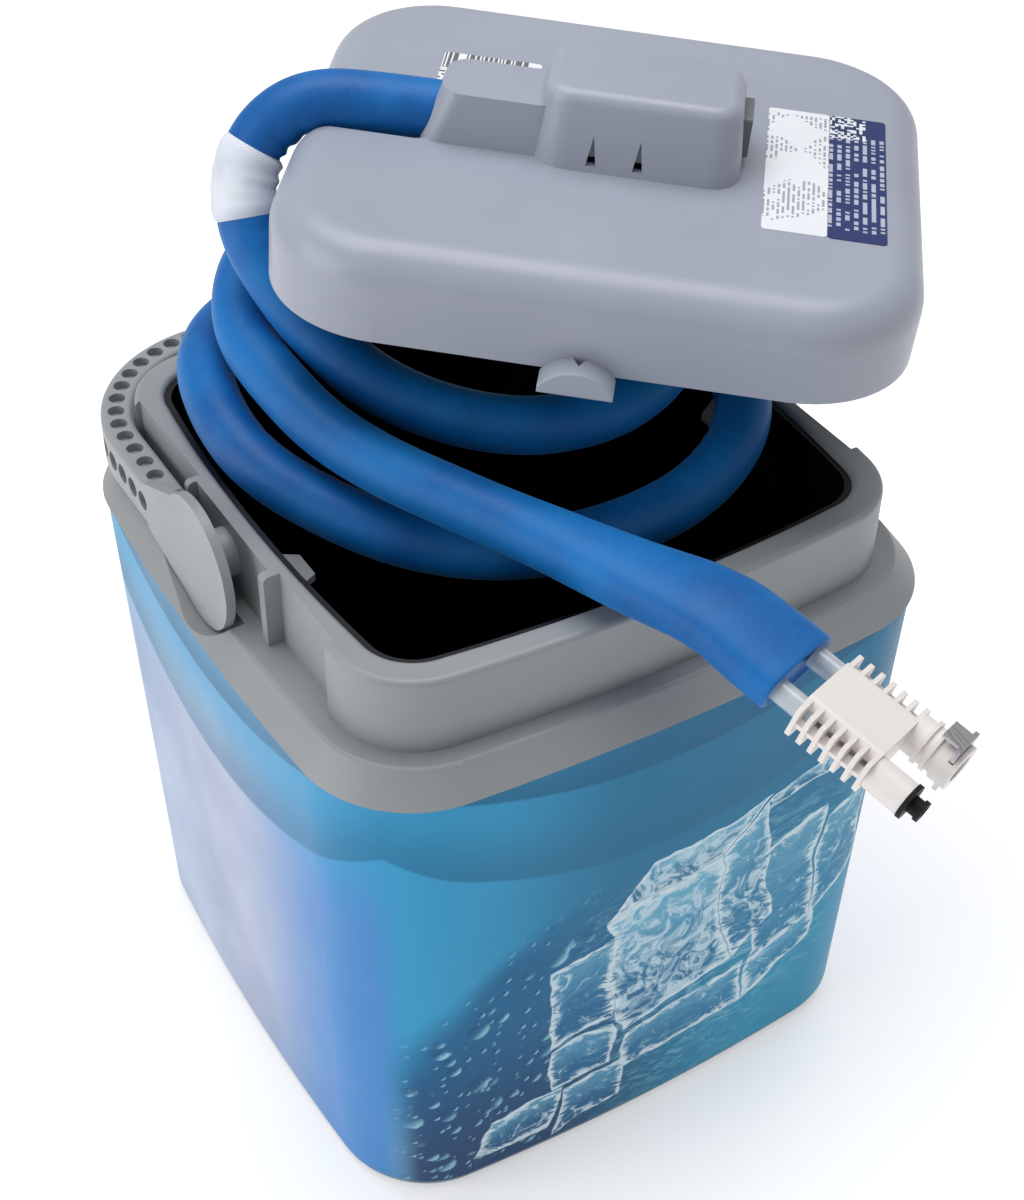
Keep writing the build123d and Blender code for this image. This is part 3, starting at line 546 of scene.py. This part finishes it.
    def ice_face(self, corner, first, second, frost, dim):
        """One parallelogram of ice: dark glass, a cloudy inside and bright worn edges."""
        (cx, cz), (ax, az), (bx, bz) = corner, first, second
        area = ax * bz - az * bx
        dx = self.minus(self.ice_x, cx)
        dz = self.minus(self.ice_z, cz)
        p = self.over(self.minus(self.times(dx, bz), self.times(dz, bx)), area)
        q = self.over(self.minus(self.times(dz, ax), self.times(dx, az)), area)
        gap_p = self.from_sides(p, math.hypot(ax, az))
        gap_q = self.from_sides(q, math.hypot(bx, bz))
        gap = self.math("MINIMUM", gap_p, gap_q)
        within = self.times(self.step(gap, -0.0002, 0.0006), self.is_front)
        self.paint(self.times(within, dim), lin(20, 108, 158))
        shine = self.step(self.plus(q, self.times(self.cloudy, 0.8)), 0.55, 1.35)
        shine = self.times(shine, 0.35 + 0.45 * frost)
        self.paint(self.times(within, shine), lin(120, 192, 220))
        milky = self.step(self.cloudy, 0.59 - 0.17 * frost, 0.70 - 0.10 * frost, 0.0, 0.88)
        self.paint(self.times(within, milky), lin(200, 226, 238))
        wide = self.step(self.streaky, 0.34, 0.66, 0.0010, 0.0062)
        worn = self.step(self.streaky, 0.28, 0.52, 0.12, 1.0)
        rim = self.times(self.step(gap, wide, self.times(wide, 0.25)), worn)
        self.paint(self.times(within, rim, 0.92), lin(216, 234, 242))


# each face's corner, first side, second side, frost and depth of the dark glass
ice_faces = (
    ((-0.076, 0.012), (0.030, 0.002), (0.006, 0.022), 0.35, 0.45),
    ((-0.044, 0.008), (0.030, 0.003), (0.004, 0.026), 0.30, 0.55),
    ((-0.045, 0.036), (0.027, 0.003), (0.000, 0.028), 0.15, 0.70),
    ((-0.046, 0.066), (0.028, 0.004), (-0.004, 0.044), 0.20, 0.65),
    ((-0.012, 0.030), (0.056, 0.008), (-0.002, 0.024), 0.10, 0.55),
    ((0.044, 0.038), (0.032, 0.014), (0.000, 0.020), 0.30, 0.40),
    ((0.044, 0.058), (0.030, 0.010), (-0.002, 0.062), 0.20, 0.50),
    ((0.074, 0.068), (0.026, 0.016), (0.000, 0.054), 0.50, 0.35),
    ((0.034, 0.142), (0.052, 0.014), (0.012, 0.012), 0.70, 0.20),
    ((-0.016, 0.058), (0.050, 0.010), (-0.010, 0.066), 0.95, 0.45),
    ((0.034, 0.068), (0.020, 0.018), (-0.010, 0.066), 0.60, 0.50),
    ((-0.026, 0.124), (0.050, 0.010), (0.022, 0.022), 1.00, 0.35),
)


def printed_film():
    m = Print("printed_film", Roughness=0.4, Specular_IOR_Level=0.16, Coat_Weight=0.05,
              Coat_Roughness=0.15)
    m.walls()
    m.bands()
    patch = m.water()
    m.droplets(patch)
    m.haze()
    for face in ice_faces:
        m.ice_face(*face)
    gloss = m.step(m.noise(18.0), 0.3, 0.7, 0.36, 0.46)
    return m.done(m.color, gloss, m.bump(m.noise(55.0), 0.05, 0.0006))


film = printed_film()

# ---------------------------------------------------------------- lid labels, drawn along the lid
unplace = lid_place.inverted()
dash = 0.0011


def lid_xy(m):
    """Object coordinates turned into the lid's own x and y."""
    found = []
    for row in unplace[:2]:
        total = row[3]
        for socket, factor in zip(m.xyz(), row):
            total = m.math("MULTIPLY_ADD", socket, factor, total)
        found.append(total)
    return found


def dash_rows(m, along, across, pitch, seed, fill=0.6):
    """Rows of broken dashes that read as small print from afar but hold no letters."""
    inside = m.below(m.math("FRACT", m.over(across, pitch)), 0.5)
    place = m.join(m.cell(along, dash), m.plus(m.cell(across, pitch), seed), 0.0)
    return m.times(inside, m.below(m.random("2D", Vector=place), fill))


def near(m, value, middle, half):
    """1 where the value is less than half away from the middle."""
    return m.below(m.math("ABSOLUTE", m.minus(value, middle)), half)


def paper(m, color):
    """Slightly uneven label paper in that colour."""
    return m.done(color, None, m.bump(m.noise(50.0), 0.05, 0.0003))


def rating_paper():
    """Plain bars over a few rows of dashes."""
    m = Mat("label_rating", Roughness=0.35)
    x, y = lid_xy(m)
    bars = m.below(m.random("1D", W=m.cell(x, 0.0006)), 0.55)
    bars = m.times(bars, m.above(y, 0.030), m.below(x, -0.036))
    small = m.times(dash_rows(m, x, y, 0.0024, 3.0), m.below(y, 0.029))
    ink = m.math("MAXIMUM", bars, small)
    return paper(m, m.mix(m.times(ink, 0.85), lin(236, 240, 246), lin(30, 34, 40)))


def notes_paper():
    """Close rows of dashes in loose blocks."""
    m = Mat("label_notes", Roughness=0.35)
    x, y = lid_xy(m)
    rows = dash_rows(m, y, x, 0.0017, 1.0, 0.62)
    blocks = m.below(m.noise(55.0, 0.0, vector=m.join(x, m.times(y, 0.7), 0.0)), 0.56)
    ink = m.times(rows, blocks, near(m, y, -0.008, 0.039))
    return paper(m, m.mix(m.times(ink, 0.6), lin(232, 236, 242), lin(70, 78, 96)))


def navy_paper():
    """Pale rows on navy, with a square of specks at one end."""
    m = Mat("label_navy", Roughness=0.32)
    x, y = lid_xy(m)
    ink = m.times(dash_rows(m, y, x, 0.0030, 7.0), near(m, y, -0.012, 0.032))
    color = m.mix(m.times(ink, 0.65), lin(30, 48, 104), lin(214, 222, 238))
    place = m.join(m.cell(x, dash), m.cell(y, dash), 0.0)
    specks = m.mix(m.below(m.random("2D", Vector=place), 0.5), lin(226, 232, 240), lin(38, 48, 90))
    in_square = m.times(m.above(y, 0.018), m.below(x, 0.088))
    return paper(m, m.mix(in_square, color, specks))


label_rating = rating_paper()
label_notes = notes_paper()
label_navy = navy_paper()

# ---------------------------------------------------------------- materials on the CAD nodes
finish_of = {
    "tub_outer_shell": shell, "printed_sleeve": film, "tub_insulation": foam, "tub_liner": black,
    "rim_collar": grey, "support_tabs": grey, "handle_pivot_pins": pin, "carry_handle": grey,
    "lid_cover": lid_grey, "lid_pan": black, "lid_insulation": foam, "lid_gasket": rubber,
    "lid_screws": metal, "lid_thumb_tab": lid_grey, "rating_label": label_rating,
    "instruction_label": label_notes,
    "identity_label": label_navy, "power_socket": pin, "pump_column": black, "pump_volute": pump,
    "intake_screen": dark, "impeller_and_shaft": pump, "pump_motor": metal, "motor_bracket": pump,
    "circuit_board": board, "supply_tube": tube_mat, "return_tube": tube_mat, "hose_gland": dark,
    "hose_sleeve": hose_mat, "hose_band": band_mat, "hose_cuff": hose_mat, "tube_ends": tube_mat,
    "coupling_body": white, "valve_end": rubber, "coupling_o_ring": rubber, "poppet_near": white,
    "poppet_far": white, "coupling_latch": metal,
}
for name, mat in finish_of.items():
    data = nodes[name].data
    data.materials.clear()
    data.materials.append(mat)

# ---------------------------------------------------------------- floor
half = 6
floor_mesh = bpy.data.meshes.new("floor")
floor_corners = [(-half, -half, 0), (half, -half, 0), (half, half, 0), (-half, half, 0)]
floor_mesh.from_pydata(floor_corners, [], [(0, 1, 2, 3)])
floor = bpy.data.objects.new("floor", floor_mesh)
scene.collection.objects.link(floor)
m = Mat("floor", Roughness=0.9, Emission_Color=(1, 1, 1, 1), Emission_Strength=0.34)
floor_mesh.materials.append(m.done(m.mix(m.noise(1.5), (0.93, 0.93, 0.935), (0.96, 0.96, 0.965))))


# ---------------------------------------------------------------- light and world
def area_light(name, at, target, size, power):
    data = bpy.data.lights.new(name, "AREA")
    data.shape = "RECTANGLE"
    data.size, data.size_y = size
    data.energy = power
    obj = bpy.data.objects.new(name, data)
    obj.location = at
    obj.rotation_mode = "QUATERNION"
    obj.rotation_quaternion = (Vector(target) - Vector(at)).to_track_quat("-Z", "Y")
    scene.collection.objects.link(obj)


area_light("overhead", (0.1, 0.25, 1.7), (0.02, 0.0, 0.2), (1.6, 1.0), 18)
area_light("left_fill", (-1.6, 0.2, 0.7), (0, 0, 0.15), (1.2, 1.2), 10)
area_light("front_soft", (0.3, -1.7, 1.0), (0, 0, 0.15), (1.4, 1.0), 0.8)

world = bpy.data.worlds.new("world")
world.use_nodes = True
world.node_tree.nodes["Background"].inputs[0].default_value = (1, 1, 1, 1)
world.node_tree.nodes["Background"].inputs[1].default_value = 0.36
scene.world = world
